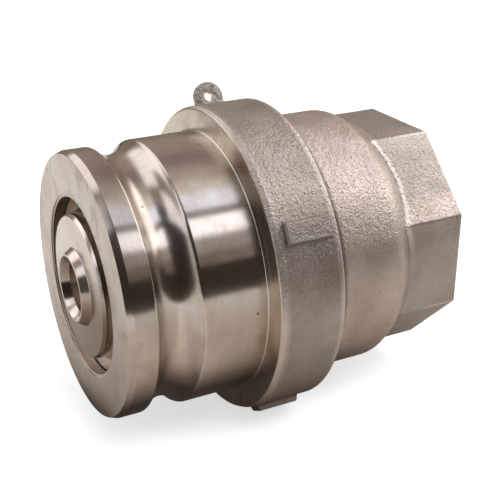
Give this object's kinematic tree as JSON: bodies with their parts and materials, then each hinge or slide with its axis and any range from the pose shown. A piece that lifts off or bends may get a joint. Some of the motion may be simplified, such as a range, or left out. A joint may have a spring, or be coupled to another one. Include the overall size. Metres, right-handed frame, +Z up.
{
  "type": "dry break coupling",
  "caption": "Stainless dry break coupling half: a cam-groove nose with a spring-loaded poppet, screwed into a cast body with an octagon for a threaded pipe.",
  "frame": {"origin": "centre of the footprint, on the surface that the collar lies on", "axes": "+X along the flow axis from the open nose to the pipe socket, +Z up, +Y to the far side"},
  "size_m": [0.1694, 0.1406, 0.1422],
  "materials": {
    "machined_stainless": "turned and polished stainless steel, with fine tool marks",
    "cast_stainless": "cast stainless steel, blasted to a dull grain",
    "bright_stainless": "bright drawn stainless steel",
    "spring_stainless": "drawn stainless spring wire and strip",
    "seal_rubber": "moulded black fluoroelastomer",
    "bush_polymer": "turned filled bearing polymer"
  },
  "bodies": {
    "coupling_body": {"nose_body": "machined_stainless", "seat_gasket": "seal_rubber", "seat_ring": "machined_stainless", "seat_circlip": "spring_stainless", "body_casting": "cast_stainless", "body_seal": "seal_rubber", "spider_guide": "cast_stainless", "front_guide_bush": "bush_polymer", "rear_guide_bush": "bush_polymer", "spring_seat": "bright_stainless", "poppet_spring": "spring_stainless"},
    "poppet_assembly": {"poppet_head": "machined_stainless", "poppet_seal": "seal_rubber", "seal_clamp_plate": "machined_stainless", "lock_washer": "spring_stainless", "poppet_nut": "bright_stainless", "poppet_stem": "machined_stainless", "stop_washer": "bright_stainless", "castle_nut": "bright_stainless", "split_pin": "spring_stainless"}
  },
  "joints": [
    {"name": "poppet_slide", "type": "slide", "parent": "coupling_body", "child": "poppet_assembly", "axis": [1, 0, 0], "range_m": [0, 0.02], "stiffness_N_per_m": 4000, "springref_m": -0.02, "deforming": ["poppet_spring"]}
  ]
}
